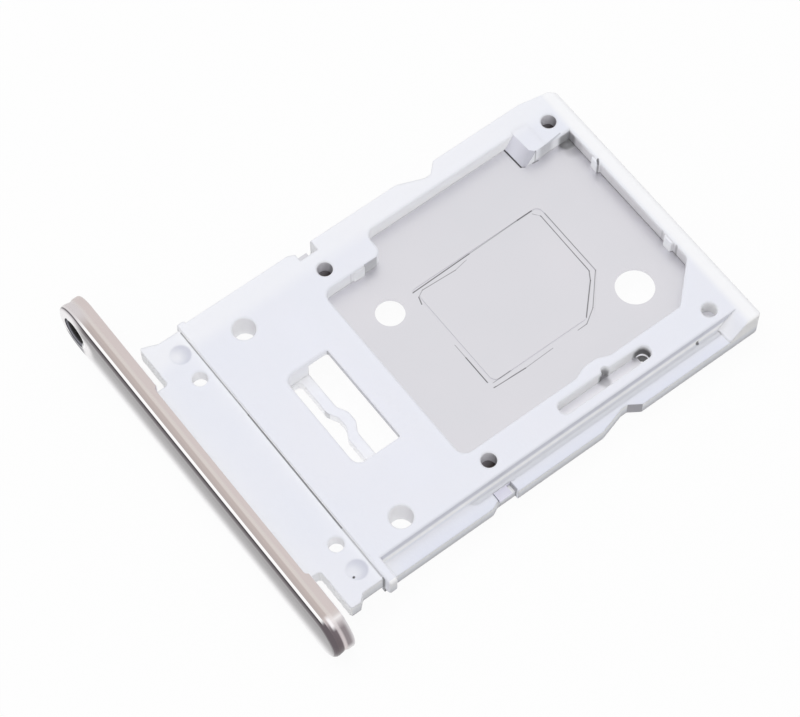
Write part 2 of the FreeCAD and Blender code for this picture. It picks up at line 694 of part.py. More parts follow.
def make_tray_frame(faceplate):
    body = upper_half().cut(ledge_ramp()).fuse(lower_half()).fuse(ledge_foot()).cut(far_round())
    body = body.fuse(stop_rib()).fuse(neck())
    holes = through_hole(HOLE_X, HOLE_Y, HOLE_RADIUS, FRAME_BOTTOM, FRAME_TOP)
    neck_holes = through_hole(NECK_HOLE_X, NECK_HOLE_Y, NECK_HOLE_RADIUS, NECK_BOTTOM, NECK_TOP)
    cuts = [flared_slab(pocket_corners, PLATE_TOP), far_lug_slope(),
            flared_slab(spring_slot_corners, PLATE_TOP), flared_slab(window_corners, BEAM_TOP),
            spring_nick(), spring_well(), lower_pocket(), beam_slot(), tab_notches(), dimple(),
            detent(-1, DETENT_LEFT_DEPTH), detent(1, DETENT_RIGHT_DEPTH),
            both_sides(holes), both_sides(neck_holes)]
    for cutter in cuts + pin_holes():
        body = body.cut(cutter)
    for raised in pocket_nubs():
        body = body.fuse(raised)
    return body.cut(faceplate).cut(sheet_blank()).removeSplitter()


def placed(shape):
    """Move from the datum to the middle of the whole tray's underside."""
    x = (FACE_RIGHT - FACE_LEFT) / 2
    y = (FRAME_FAR - FACE_DEPTH) / 2
    moved = shape.copy()
    moved.translate(point(-x, -y))
    return moved


def main():
    os.makedirs("parts", exist_ok=True)
    faceplate = make_faceplate()
    support_plate = make_support_plate()
    tray_frame = make_tray_frame(faceplate)
    nodes = {"faceplate": faceplate, "support_plate": support_plate, "tray_frame": tray_frame}
    for name, shape in nodes.items():
        solid = placed(shape)
        solid.exportStep(f"parts/{name}.step")
        print(f"{name}: {len(solid.Solids)} solid, valid {solid.isValid()}, {solid.Volume:.3f} mm3")


main()
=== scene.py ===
"""Double-sided SIM card tray: finishes, floor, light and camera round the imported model.

Lengths are written in millimetres and turned into metres where Blender needs them.
"""
import bpy
import math
from mathutils import Matrix, Vector


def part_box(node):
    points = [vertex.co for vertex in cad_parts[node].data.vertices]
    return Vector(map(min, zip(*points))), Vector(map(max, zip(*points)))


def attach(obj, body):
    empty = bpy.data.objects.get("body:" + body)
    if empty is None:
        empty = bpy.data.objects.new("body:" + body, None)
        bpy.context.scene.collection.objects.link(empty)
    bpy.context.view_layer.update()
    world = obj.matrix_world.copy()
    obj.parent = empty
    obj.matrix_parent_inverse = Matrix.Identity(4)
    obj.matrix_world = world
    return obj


def srgb(red, green, blue):
    """Linear colour of an 8-bit screen colour."""
    return tuple(((c / 255 + 0.055) / 1.055) ** 2.4 for c in (red, green, blue)) + (1,)


MM = 0.001

# Photo's frame and the camera fitted to it, in the frame of the part
PHOTO_WIDTH = 800
FOCAL_PIXELS = 3034.8
SENSOR_WIDTH = 36.0
CAMERA_TARGET = (0.998, -1.669, 2.0)
CAMERA_DISTANCE = 118.25
CAMERA_AZIMUTH = 52.29
CAMERA_ELEVATION = 62.54
CAMERA_ROLL = 0.394
CLIP_START = 10
CLIP_END = 10000

# Light
SKY_STRENGTH = 0.775
SKY_SHOWN_STRENGTH = 1.0
KEY_PLACE = (-60.0, -40.0, 300.0)
KEY_SIZE = 260.0
KEY_LEVEL = 0.28

# Floor: what lights the part, what glows under the frame, and what the camera sees
FLOOR_SIZE = 4000.0
FLOOR_LIT = (0.4, 0.4, 0.4, 1)
FLOOR_UNDER_GLOW = 0.85
FLOOR_UNDER_FADE = 0.2
FLOOR_SHOWN = (0.9, 0.9, 0.9, 1)
FLOOR_SHOWN_GLOW = 0.9

# Plain tones
WHITE = (1, 1, 1, 1)
CLEAR = (0.99, 0.99, 1.0, 1)

# The drawing's datum, from the low corner of the faceplate's box, and heights above the floor
DATUM = (10.5, 0.96, 0.0)
LEDGE_TOP = 1.28
PLATE_TOP = 1.26
FRAME_BOTTOM = 0.6
NECK_BOTTOM = 1.05
FACE_HEIGHT = 2.36
FACE_MIDDLE = 1.18

# Near end of the far lug, in plan at the plate and at the top, just above the frame's own top
LUG_FOOT = [(-5.8, 17.74), (-4.62, 17.78), (-4.5, 17.95), (-4.5, 18.9), (-5.8, 18.9)]
LUG_HEAD = [(-5.8, 18.14), (-4.72, 18.2), (-4.5, 18.4), (-4.5, 18.9), (-5.8, 18.9)]
LUG_TOP = 2.003
LUG_SIDES_SHOWN = 3

# Places where a mask turns on: limit and softness, or low limit, high limit and softness
UPRIGHT = (0.4, 0.2)
FACING_UP = (0.6, 0.3)
FACING_RIGHT = (0.3, 0.2)
FAR_WALL_FACING = (-0.5, 0.2)
LUG_FACING = (-0.35, 0.2)
DETENT_FACING = (-0.3, 0.1)
NECK_FRONT_FACING = (-0.4, 0.3)
LEFT_RAIL = (-5.6, 0.8)
FAR_RIM = (20.2, 0.4)
FAR_WALL = (20.05, 0.02)
LEDGE = (5.95, 0.04)
LEDGE_HEIGHTS = (1.2, 1.34, 0.04)
STEP_WALL = (5.9, 0.02)
OVER_LEDGE = (LEDGE_TOP, 0.01)
BEHIND_RIB = (2.6, 0.02)
OUTER_SIDE = (6.0, 0.02)
DETENT = (13.5, 15.4, 0.02)
NECK_FRONT = (1.2, 0.1)
LUG_FACE_RIGHT = (-4.3, 0.02)
LUG_FACE = (17.6, 18.45, 0.04)
LUG_FADE = (-4.9, 0.8)
SLOT_AREA = (4.9, 5.55, 0.02)
TAB = (5.9, 0.02)

# Plastic's tones, painted light on its rim and rail, painted shade on its ledge, lug face and detent wall,
# and the reach of its lightened corners and of its edges
MOTTLE_SCALE = 0.22
PLASTIC_COOL = srgb(231, 234, 244)
PLASTIC_PLAIN = srgb(236, 236, 243)
LEFT_RAIL_PAINTED_LIGHT = 0.3
FAR_RIM_PAINTED_LIGHT = 0.7
LEDGE_SHADE = srgb(222, 225, 238)
LUG_LIT = srgb(220, 220, 230)
LUG_SHADED = srgb(200, 200, 210)
DETENT_SHADE = srgb(172, 171, 178)
CORNER_REACH = 1.5
CORNER_SAMPLES = 8
EDGE_RADIUS = 0.1
EDGE_SAMPLES = 6

# Plastic's surface: grain as scale and detail, roughness as share of the grain and base, inner glow
PLASTIC_GRAIN = (9.0, 3.0)
PLASTIC_GRAIN_HEIGHT = 0.004
PLASTIC_ROUGHNESS = (0.12, 0.42)
PLASTIC_GLOSS = 0.4
PLASTIC_GLOW_SHARE = 0.25
PLASTIC_GLOW_REACH = 0.2
PLASTIC_GLOW_SPREAD = (1, 1, 1)

# Painted light and shade up the walls, from each wall's foot, with dark shadow lines at the feet of the
# far wall and the sides
STEP_WALL_TONES = [
    (0.0, CLEAR), (0.25, srgb(250, 251, 254)), (0.42, srgb(214, 215, 226)),
    (0.6, srgb(212, 213, 224)), (0.7, srgb(222, 223, 233)),
]
FAR_WALL_TONES = [
    (0.0, srgb(90, 86, 88)), (0.06, srgb(208, 207, 212)), (0.5, srgb(216, 215, 220)),
    (0.7, srgb(240, 240, 244)),
]
FRAME_SIDE_TONES = [
    (0.0, srgb(95, 93, 97)), (0.06, srgb(198, 198, 203)), (0.35, srgb(230, 232, 239)), (0.66, CLEAR),
]
NECK_SIDE_TONES = [
    (0.0, srgb(140, 139, 144)), (0.07, srgb(220, 221, 226)), (0.4, srgb(238, 239, 244)),
    (0.75, srgb(252, 252, 255)),
]

# Round holes: place and radius, painted light and shade of their left and right walls, and where the right
# tone begins
HOLES = [(-5.07, 4.24, 0.48), (5.07, 4.24, 0.48), (-4.42, 1.64, 0.31), (4.42, 1.64, 0.31)]
HOLE_TONES = ((0.92, 0.92, 0.95, 1), (0.6, 0.59, 0.62, 1), 0.95)
PIN_HOLES = [(-5.31, 8.36, 0.32), (5.21, 8.36, 0.32), (-5.31, 19.7, 0.32)]
PIN_TONES = ((0.75, 0.74, 0.78, 1), (0.25, 0.24, 0.26, 1), 0.55)
HOLE_MARGIN = 0.03
HOLE_FADE = 0.02

# Painted shade in the dimples, with a paler middle set off towards the near left
DIMPLES = [(-5.73, 1.64), (5.73, 1.64)]
DIMPLE_RADIUS = 0.43
DIMPLE_FADE = 0.1
DIMPLE_MIDDLE_SHIFT = (-0.03, -0.2)
DIMPLE_MIDDLE_RADIUS = 0.32
DIMPLE_MIDDLE_FADE = 0.5
DIMPLE_SHADE = 0.68
DIMPLE_MIDDLE_LIFT = -0.6
DIMPLE_SHADE_TONE = srgb(196, 198, 212)

# Painted shadow lines and spots at corners, wall feet and gaps: start and end in plan, width, share of
# cover
SHADOW_TONE = srgb(38, 35, 38)
PLASTIC_SHADOW_LINES = [
    ((-2.3, 6.24), (2.3, 6.24), 0.07, 0.5),
    ((5.88, 1.38), (5.9, 1.35), 0.09, 0.95),
    ((-2.7, 20.15), (-2.56, 20.06), 0.09, 0.8),
    ((1.4, 20.09), (1.45, 20.09), 0.1, 0.35),
    ((2.28, 20.11), (2.32, 20.11), 0.1, 0.4),
    ((-4.52, 18.39), (-4.3, 18.33), 0.06, 0.4),
    ((6.2, 8.66), (6.58, 8.67), 0.06, 0.45),
    ((6.56, 7.9), (6.6, 8.5), 0.06, 0.5),
    ((-4.46, 18.5), (-4.58, 19.7), 0.06, 0.3),
    ((-4.45, 9.04), (-4.43, 9.04), 0.1, 0.5),
    ((-4.51, 9.72), (-4.5, 10.5), 0.05, 0.4),
]
LEDGE_SHADOW_LINES = [
    ((5.94, 18.2), (5.95, 18.24), 0.1, 0.8),
]
SLOT_SHADOW_LINES = [
    ((4.84, 14.24), (4.9, 14.36), 0.36, 0.85),
    ((4.92, 16.05), (5.15, 16.3), 0.5, 0.9),
]
RIB_SHADOW_LINES = [
    ((-6.5, 2.21), (-2.0, 2.21), 0.06, 0.5),
    ((-2.0, 2.21), (4.0, 2.2), 0.07, 0.7),
    ((4.0, 2.2), (6.5, 2.2), 0.07, 0.35),
    ((6.6, 2.22), (6.66, 2.22), 0.1, 0.6),
]
BEAM_SHADOW_LINES = [
    ((-2.2, 4.78), (-2.0, 4.8), 0.06, 0.3),
    ((-0.7, 4.87), (-0.28, 4.97), 0.04, 0.3),
    ((-0.3, 4.96), (0.1, 5.08), 0.06, 0.5),
]
# Painted shade in the far corner of the pocket by the relief, on plastic and sheet.
CORNER_SHADOWS = [
    ((-4.42, 19.85), (-4.36, 20.25), 0.5, 0.65),
    ((-4.0, 19.9), (-3.95, 20.3), 0.6, 0.18),
]
PLATE_SHADOW_LINES = [
    ((-2.67, 10.74), (-2.72, 13.6), 0.045, 0.75),
    ((-2.72, 13.6), (-2.76, 16.1), 0.035, 0.4),
    ((-2.76, 16.1), (-2.76, 16.82), 0.045, 0.6),
    ((-2.53, 11.1), (-2.45, 12.7), 0.035, 0.55),
    ((-2.45, 12.7), (-2.56, 13.35), 0.03, 0.4),
    ((-2.53, 11.1), (-2.37, 10.8), 0.035, 0.4),
    ((-2.37, 10.8), (-2.05, 10.7), 0.045, 0.7),
    ((-2.64, 16.76), (-2.36, 16.97), 0.03, 0.4),
    ((-2.36, 16.97), (0.79, 16.93), 0.045, 0.75),
    ((0.79, 16.93), (1.16, 16.7), 0.045, 0.6),
    ((1.16, 16.7), (2.36, 15.52), 0.045, 0.7),
    ((-2.36, 17.18), (0.92, 17.15), 0.03, 0.35),
    ((0.92, 17.15), (2.18, 16.0), 0.035, 0.55),
    ((2.18, 16.0), (2.6, 15.35), 0.035, 0.55),
    ((2.6, 15.35), (2.61, 14.9), 0.035, 0.6),
    ((0.2, 10.62), (0.9, 10.62), 0.035, 0.5),
    ((0.9, 10.62), (2.27, 10.62), 0.05, 0.85),
    ((2.61, 10.68), (2.68, 12.2), 0.045, 0.7),
    ((2.68, 12.2), (2.64, 13.6), 0.03, 0.45),
    ((2.41, 10.79), (2.41, 11.65), 0.03, 0.45),
    ((4.95, 14.25), (5.1, 14.3), 0.4, 0.35),
    ((-5.64, 17.71), (-4.62, 17.75), 0.08, 0.9),
    ((-4.6, 17.76), (-4.52, 17.88), 0.05, 0.5),
    ((-4.47, 18.25), (-4.44, 18.5), 0.05, 0.5),
]

# Painted shadow lines on the plastic that show only below a height: list, limit and softness
SHADOW_LINES_BELOW = [
    (BEAM_SHADOW_LINES, 1.08, 0.02),
    (LEDGE_SHADOW_LINES, 1.48, 0.15),
    (SLOT_SHADOW_LINES, 1.75, 0.4),
    (RIB_SHADOW_LINES, 1.83, 0.06),
    (CORNER_SHADOWS, 1.85, 0.2),
]

# Steel sheet, with painted light on the slot floor and a painted dark reflection in the pin-hole floors
SHEET_MOTTLE_SCALE = 0.3
SHEET_DARKER = srgb(218, 218, 223)
SHEET_LIGHTER = srgb(224, 222, 227)
SLOT_FLOOR_LIGHT = srgb(246, 245, 250)
TAB_TONE = srgb(224, 223, 236)
PIN_FLOOR_MARGIN = 0.04
PIN_FLOOR_SPREAD = 1.5
PIN_FLOOR_REFLECTION = [(0.1, srgb(150, 146, 148)), (0.5, srgb(84, 76, 74)), (0.9, srgb(150, 146, 150))]
SHEET_GRAIN = (1.0, 3.0)
SHEET_GRAIN_STRETCH = (3.0, 60.0, 60.0)
SHEET_GRAIN_HEIGHT = 0.0015
SHEET_ROUGHNESS = 0.38

# Metal front: places across it, depths from its front face and turns, most of them with a softness
END_CENTRE = 6.67
EJECT_PLACE = -9.32
LEFT_END = (-9.0, 1.0)
FACE_EDGE = (0.02, 0.02)
ROUNDING_DEPTH = 0.2
ROUNDING_FADE = 0.01
SATIN_FROM = (0.2, 0.02)
FOLD_FROM = (0.32, 0.08)
WAIST_FROM = (0.45, 0.08)
LEFT_END_BAND_TO = (0.55, 0.3)
REAR_FROM = (0.59, 0.08)
REAR_EDGE_FROM = (0.83, 0.2)
REAR_EDGE_TURN = (0.12, 0.1)
BACK_FROM = (0.93, 0.02)
DARK_TURN = (0.05, 0.08)

# Painted reflections round the right end, by half turns from straight up
FRONT_BAND = [
    (0.0, srgb(188, 177, 174)), (0.04, srgb(206, 196, 194)), (0.09, srgb(188, 178, 180)),
    (0.13, srgb(144, 136, 139)), (0.18, srgb(114, 105, 109)), (0.5, srgb(104, 94, 97)),
]
REAR_BAND = [
    (0.0, srgb(210, 199, 197)), (0.05, srgb(214, 206, 204)), (0.09, srgb(240, 236, 236)),
    (0.15, srgb(190, 182, 184)), (0.21, srgb(146, 138, 141)), (0.44, srgb(150, 142, 145)),
    (0.53, srgb(225, 222, 222)),
]
WAIST = [
    (0.0, srgb(216, 208, 204)), (0.09, srgb(238, 232, 232)), (0.2, srgb(204, 196, 198)),
    (0.5, srgb(218, 208, 208)),
]
FOLD = [
    (0.0, srgb(194, 182, 178)), (0.03, srgb(226, 220, 219)), (0.06, srgb(252, 248, 250)),
    (0.14, srgb(252, 248, 250)), (0.2, srgb(118, 109, 113)), (0.5, srgb(106, 96, 99)),
]
REAR_EDGE_TONE = srgb(214, 211, 213)
LEFT_END_REFLECTION = srgb(213, 207, 208)

# Painted reflections over the rounding, by share from its rear to its front, and up the face by share of
# its height
ROUNDING = [
    (0.0, WHITE), (0.47, srgb(252, 250, 250)), (0.53, srgb(52, 48, 50)), (0.6, srgb(56, 52, 54)),
    (0.72, srgb(104, 99, 102)), (0.9, srgb(118, 113, 116)),
]
LEFT_ROUNDING = [
    (0.0, srgb(213, 207, 208)), (0.4, srgb(222, 217, 218)), (0.53, srgb(96, 91, 95)),
    (0.65, srgb(120, 115, 119)), (0.8, srgb(222, 218, 220)),
]
DARK_ROUNDING = srgb(104, 96, 100)
FACE = [
    (0.08, srgb(254, 253, 254)), (0.17, srgb(241, 240, 241)), (0.3, srgb(206, 204, 206)),
    (0.42, srgb(167, 164, 166)), (0.55, srgb(134, 131, 133)), (0.68, srgb(123, 119, 121)),
    (0.8, srgb(103, 99, 101)), (0.89, srgb(112, 107, 109)), (0.95, srgb(120, 114, 117)),
]

# Round the eject hole: radii, heights and places with a softness, and their tones: a painted reflection on
# the face and ring, painted shade in the bore
PALE_RADIUS = (1.15, 0.5)
PALE_BELOW = (1.6, 0.6)
PALE_TONE = srgb(236, 233, 234)
UNDER_HOLE_BELOW = (0.55, 0.15)
UNDER_HOLE = (-10.1, -8.8, 0.3)
UNDER_HOLE_TONE = srgb(84, 84, 94)
RING = (0.485, 0.7, 0.03)
RING_UPPER = (0.0, 0.3)
LOWER_RING = [
    (0.5, srgb(12, 10, 10)), (0.54, srgb(20, 18, 18)), (0.56, srgb(74, 73, 78)),
    (0.59, srgb(150, 150, 158)), (0.615, srgb(112, 112, 120)), (0.64, srgb(40, 40, 48)),
]
BORE_RADIUS = (0.51, 0.02)
BORE = [(0.13, srgb(26, 24, 24)), (0.3, srgb(10, 8, 8))]

# Metal's roughness as a grey for each kind of surface, and its grain as scale and detail
POLISHED = (0.12, 0.12, 0.12, 1)
SATIN = (0.34, 0.34, 0.34, 1)
MATT = (0.8, 0.8, 0.8, 1)
METAL_GRAIN = (30.0, 2.0)
METAL_GRAIN_HEIGHT = 0.0006


class Graph:
    """A material or world's node tree, with short calls that add nodes to it."""

    def __init__(self, owner):
        owner.use_nodes = True
        self.tree = owner.node_tree
        self.tree.nodes.clear()

    def add(self, kind, inputs=None, **settings):
        node = self.tree.nodes.new(kind)
        for name, value in settings.items():
            setattr(node, name, value)
        for key, value in (inputs or {}).items():
            socket = node.inputs[key]
            if isinstance(value, bpy.types.NodeSocket):
                self.tree.links.new(value, socket)
            else:
                socket.default_value = value
        return node

    def math(self, operation, first, second=0.0, third=0.0, clamp=False):
        inputs = {0: first, 1: second, 2: third}
        return self.add("ShaderNodeMath", inputs, operation=operation, use_clamp=clamp).outputs[0]

    def flip(self, value):
        return self.math("SUBTRACT", 1.0, value)

    def both(self, *masks):
        """1 where every mask is 1."""
        product = masks[0]
        for mask in masks[1:]:
            product = self.math("MULTIPLY", product, mask)
        return product

    def step(self, value, at, soft):
        """0 below a limit and 1 above it, with a soft change between."""
        inputs = {0: value, 1: at - soft / 2, 2: at + soft / 2}
        node = self.add("ShaderNodeMapRange", inputs, interpolation_type="SMOOTHSTEP")
        return node.outputs[0]

    def under(self, value, at, soft):
        """1 below a limit and 0 above it, with a soft change between."""
        return self.flip(self.step(value, at, soft))

    def between(self, value, low, high, soft):
        """1 where a value lies between two limits, fading to 0 over a soft width."""
        rise = self.step(value, low, soft)
        fall = self.step(value, high, soft)
        return self.math("SUBTRACT", rise, fall, clamp=True)

    def mix(self, factor, first, second):
        node = self.add("ShaderNodeMix", {0: factor, 6: first, 7: second}, data_type="RGBA")
        return node.outputs[2]

    def noise(self, vector, scale, detail=2.0):
        node = self.add("ShaderNodeTexNoise", {"Vector": vector, "Scale": scale, "Detail": detail})
        return node.outputs["Fac"]

    def ramp(self, factor, stops):
        """Colour along a list of (place, colour) stops."""
        node = self.add("ShaderNodeValToRGB", {0: factor})
        elements = node.color_ramp.elements
        elements[0].position, elements[0].color = stops[0]
        elements[1].position, elements[1].color = stops[-1]
        for place, colour in stops[1:-1]:
            elements.new(place).color = colour
        return node.outputs[0]

    def vector(self, operation, first, second):
        return self.add("ShaderNodeVectorMath", {0: first, 1: second}, operation=operation).outputs

    def scale(self, vector, factor):
        return self.add("ShaderNodeVectorMath", {0: vector, "Scale": factor}, operation="SCALE").outputs[0]

    def split(self, vector):
        return self.add("ShaderNodeSeparateXYZ", {0: vector}).outputs

    def millimetres(self):
        """Position in the part's frame, in millimetres."""
        return self.scale(self.add("ShaderNodeTexCoord").outputs["Object"], 1 / MM)

    def place(self):
        """Position from the drawing's datum, in millimetres."""
        datum = Vector(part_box("faceplate")[0]) / MM + Vector(DATUM)
        return self.vector("SUBTRACT", self.millimetres(), datum)[0]

    def plan(self, here):
        """A position with its height left out."""
        return self.vector("MULTIPLY", here, (1, 1, 0))[0]

    def spot(self, plan, centre, radius, soft):
        """1 inside a round spot in plan, fading to 0 over a soft edge."""
        distance = self.vector("DISTANCE", plan, (*centre, 0))["Value"]
        return self.under(distance, radius, soft)

    def stroke(self, plan, start, end, width):
        """1 along the middle of a straight stroke in plan, fading to 0 at its edges."""
        run = Vector((*end, 0)) - Vector((*start, 0))
        offset = self.vector("SUBTRACT", plan, (*start, 0))[0]
        along = self.vector("DOT_PRODUCT", offset, run / run.length_squared)["Value"]
        along = self.math("MINIMUM", self.math("MAXIMUM", along, 0.0), 1.0)
        distance = self.vector("DISTANCE", offset, self.scale(run, along))["Value"]
        return self.under(distance, width / 2, width / 2)

    def shadow_lined(self, colour, plan, shadow_lines):
        """A colour with soft painted shadow strokes over it."""
        for start, end, width, share in shadow_lines:
            cover = self.math("MULTIPLY", self.stroke(plan, start, end, width), share)
            colour = self.mix(cover, colour, SHADOW_TONE)
        return colour

    def across(self, x, centre, radius):
        """0 at the left of a round hole, 0.5 at its middle and 1 at its right."""
        return self.math("MULTIPLY_ADD", self.math("SUBTRACT", x, centre), 0.5 / radius, 0.5)

    def seen_by_light(self):
        """1 for rays that only carry light from one surface to another."""
        return self.add("ShaderNodeLightPath").outputs["Is Diffuse Ray"]

    def seen_directly(self):
        """1 for rays that come straight, by a mirror or through glass from the camera."""
        path = self.add("ShaderNodeLightPath").outputs
        mirrored = self.math("ADD", path["Is Camera Ray"], path["Is Glossy Ray"])
        return self.math("ADD", mirrored, path["Is Transmission Ray"], clamp=True)

    def soft_edges(self, normal, radius):
        """Normals that turn over a small radius at the solid's edges."""
        inputs = {"Radius": radius * MM, "Normal": normal}
        return self.add("ShaderNodeBevel", inputs, samples=EDGE_SAMPLES).outputs[0]

    def bump(self, height, distance):
        inputs = {"Height": height, "Distance": distance * MM, "Strength": 1.0}
        return self.add("ShaderNodeBump", inputs).outputs[0]

    def finish(self, inputs):
        """Principled surface with these inputs, as the material's surface."""
        surface = self.add("ShaderNodeBsdfPrincipled", inputs).outputs[0]
        self.add("ShaderNodeOutputMaterial", {"Surface": surface})


def sky():
    world = bpy.data.worlds.new("studio")
    bpy.context.scene.world = world
    graph = Graph(world)
    inputs = {0: graph.seen_directly(), 2: SKY_STRENGTH, 3: SKY_SHOWN_STRENGTH}
    strength = graph.add("ShaderNodeMix", inputs).outputs[0]
    white = graph.add("ShaderNodeBackground", {"Color": WHITE, "Strength": strength})
    graph.add("ShaderNodeOutputWorld", {"Surface": white.outputs[0]})


def lamp(name, place, size, level):
    """Square lamp aimed at the part. A level of 1 lights a white surface facing it to full white."""
    data = bpy.data.lights.new(name, "AREA")
    data.size = size * MM
    towards = Vector(CAMERA_TARGET) - Vector(place)
    data.energy = level * (math.pi * towards.length * MM) ** 2
    item = bpy.data.objects.new(name, data)
    item.location = Vector(place) * MM
    item.rotation_euler = towards.to_track_quat("-Z", "Y").to_euler()
    item.visible_glossy = False
    bpy.context.scene.collection.objects.link(item)


def floor():
    """Plain pale floor that shows white and keeps the part's soft shadow."""
    half = FLOOR_SIZE / 2 * MM
    mesh = bpy.data.meshes.new("floor")
    corners = [(-half, -half, 0), (half, -half, 0), (half, half, 0), (-half, half, 0)]
    mesh.from_pydata(corners, [], [(0, 1, 2, 3)])
    item = bpy.data.objects.new("floor", mesh)
    bpy.context.scene.collection.objects.link(item)
    material = bpy.data.materials.new("floor")
    graph = Graph(material)
    shown = graph.seen_directly()
    tone = graph.mix(shown, FLOOR_LIT, FLOOR_SHOWN)
    matt = graph.add("ShaderNodeBsdfDiffuse", {"Color": tone}).outputs[0]
    glow = graph.add("ShaderNodeEmission", {"Color": WHITE, "Strength": 1.0}).outputs[0]
    low, high = [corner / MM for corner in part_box("tray_frame")]
    here = graph.split(graph.millimetres())
    across = graph.between(here["X"], low.x, high.x, FLOOR_UNDER_FADE)
    along = graph.between(here["Y"], low.y, high.y, FLOOR_UNDER_FADE)
    beneath = graph.both(across, along, FLOOR_UNDER_GLOW)
    share = graph.add("ShaderNodeMix", {0: shown, 2: beneath, 3: FLOOR_SHOWN_GLOW}).outputs[0]
    surface = graph.add("ShaderNodeMixShader", {0: share, 1: matt, 2: glow}).outputs[0]
    graph.add("ShaderNodeOutputMaterial", {"Surface": surface})
    mesh.materials.append(material)


def camera():
    """Camera at the photo's place and viewing angle."""
    azimuth = math.radians(CAMERA_AZIMUTH)
    elevation = math.radians(CAMERA_ELEVATION)
    level = math.cos(elevation)
    look = Vector((-math.sin(azimuth) * level, math.cos(azimuth) * level, -math.sin(elevation)))
    right = Vector((math.cos(azimuth), math.sin(azimuth), 0))
    up = right.cross(look)
    turn = Matrix((right, up, -look)).transposed().to_4x4()
    data = bpy.data.cameras.new("photo_camera")
    data.sensor_width = SENSOR_WIDTH
    data.lens = FOCAL_PIXELS * SENSOR_WIDTH / PHOTO_WIDTH
    data.clip_start = CLIP_START * MM
    data.clip_end = CLIP_END * MM
    item = bpy.data.objects.new("photo_camera", data)
    bpy.context.scene.collection.objects.link(item)
    place = (Vector(CAMERA_TARGET) - look * CAMERA_DISTANCE) * MM
    roll = Matrix.Rotation(math.radians(CAMERA_ROLL), 4, "Z")
    item.matrix_world = Matrix.Translation(place) @ turn @ roll
    bpy.context.scene.camera = item


def plastic_tops(graph, here, normal, without_corner_light):
    """Cool white tops, with painted light on the left rail, the far rim and in the inner corners, and
    painted shade on the ledge.
    """
    x, y, z = graph.split(here)
    colour = graph.mix(graph.noise(here, MOTTLE_SCALE), PLASTIC_COOL, PLASTIC_PLAIN)
    # Painted light: the left rail and the far rim are lightened towards clear white.
    rail_light = graph.math("MULTIPLY", graph.under(x, *LEFT_RAIL), LEFT_RAIL_PAINTED_LIGHT)
    rim_light = graph.math("MULTIPLY", graph.step(y, *FAR_RIM), FAR_RIM_PAINTED_LIGHT)
    colour = graph.mix(graph.math("MAXIMUM", rail_light, rim_light), colour, CLEAR)
    # Painted shade: the ledge below the step wall is darker.
    facing_up = graph.step(graph.split(normal)["Z"], *FACING_UP)
    ledge = graph.both(graph.step(x, *LEDGE), facing_up, graph.between(z, *LEDGE_HEIGHTS))
    colour = graph.mix(ledge, colour, LEDGE_SHADE)
    # Painted light: corners shut in from the sky are lightened towards clear white, except on the step and
    # far walls.
    reach = {"Distance": CORNER_REACH * MM}
    open_share = graph.add("ShaderNodeAmbientOcclusion", reach, samples=CORNER_SAMPLES).outputs["AO"]
    corner_light = graph.math("SUBTRACT", graph.flip(open_share), without_corner_light, clamp=True)
    return graph.mix(corner_light, colour, CLEAR)


def inner_walls(graph, colour, here, normal, by_step, by_far_wall):
    """Painted light and shade up the step wall and the far wall, and across the near face of the far lug.
    """
    x, y, z = graph.split(here)
    ny = graph.split(normal)["Y"]
    # Painted light and shade up the step wall.
    step_wall = graph.both(by_step, graph.step(z, *OVER_LEDGE), graph.step(y, *BEHIND_RIB))
    step_tone = graph.ramp(graph.math("SUBTRACT", z, LEDGE_TOP), STEP_WALL_TONES)
    colour = graph.mix(step_wall, colour, step_tone)
    # Painted shade up the far wall, with a dark shadow line at its foot.
    far_wall = graph.both(by_far_wall, graph.under(ny, *FAR_WALL_FACING))
    far_tone = graph.ramp(graph.math("SUBTRACT", z, PLATE_TOP), FAR_WALL_TONES)
    colour = graph.mix(far_wall, colour, far_tone)
    # Painted light and shade across the lug's near face, darker towards its right.
    at_lug = graph.under(x, *LUG_FACE_RIGHT)
    lug_face = graph.both(graph.under(ny, *LUG_FACING), at_lug, graph.between(y, *LUG_FACE))
    lug_tone = graph.mix(graph.step(x, *LUG_FADE), LUG_LIT, LUG_SHADED)
    return graph.mix(lug_face, colour, lug_tone)


def outer_walls(graph, colour, here, normal, upright):
    """Painted shade up the right sides of neck and frame and on the detent wall, and painted light on the
    front wall of the neck.
    """
    x, y, z = graph.split(here)
    nx, ny = graph.split(normal)[:2]
    # Painted shade up the right sides, darkest in a shadow line at the foot.
    neck_side = graph.ramp(graph.math("SUBTRACT", z, NECK_BOTTOM), NECK_SIDE_TONES)
    frame_side = graph.ramp(graph.math("SUBTRACT", z, FRAME_BOTTOM), FRAME_SIDE_TONES)
    side = graph.mix(graph.step(y, *BEHIND_RIB), neck_side, frame_side)
    # Painted shade on the detent wall.
    detent = graph.both(graph.under(ny, *DETENT_FACING), graph.between(y, *DETENT))
    side = graph.mix(detent, side, DETENT_SHADE)
    outward = graph.both(graph.step(nx, *FACING_RIGHT), graph.step(x, *OUTER_SIDE))
    colour = graph.mix(outward, colour, side)
    # Painted light: the neck's front wall, facing the faceplate, is clear white.
    neck_front = graph.both(upright, graph.under(ny, *NECK_FRONT_FACING), graph.under(y, *NECK_FRONT))
    return graph.mix(neck_front, colour, CLEAR)


def hole_walls(graph, colour, here, upright):
    """Walls of the round holes, with painted light and shade from a lit left to a dark right."""
    plan = graph.plan(here)
    x = graph.split(here)["X"]
    for holes, (left, right, right_from) in ((HOLES, HOLE_TONES), (PIN_HOLES, PIN_TONES)):
        tones = [(0.0, left), (right_from, right), (1.0, right)]
        for centre_x, centre_y, radius in holes:
            spot = graph.spot(plan, (centre_x, centre_y), radius + HOLE_MARGIN, HOLE_FADE)
            wall = graph.ramp(graph.across(x, centre_x, radius), tones)
            colour = graph.mix(graph.both(spot, upright), colour, wall)
    return colour


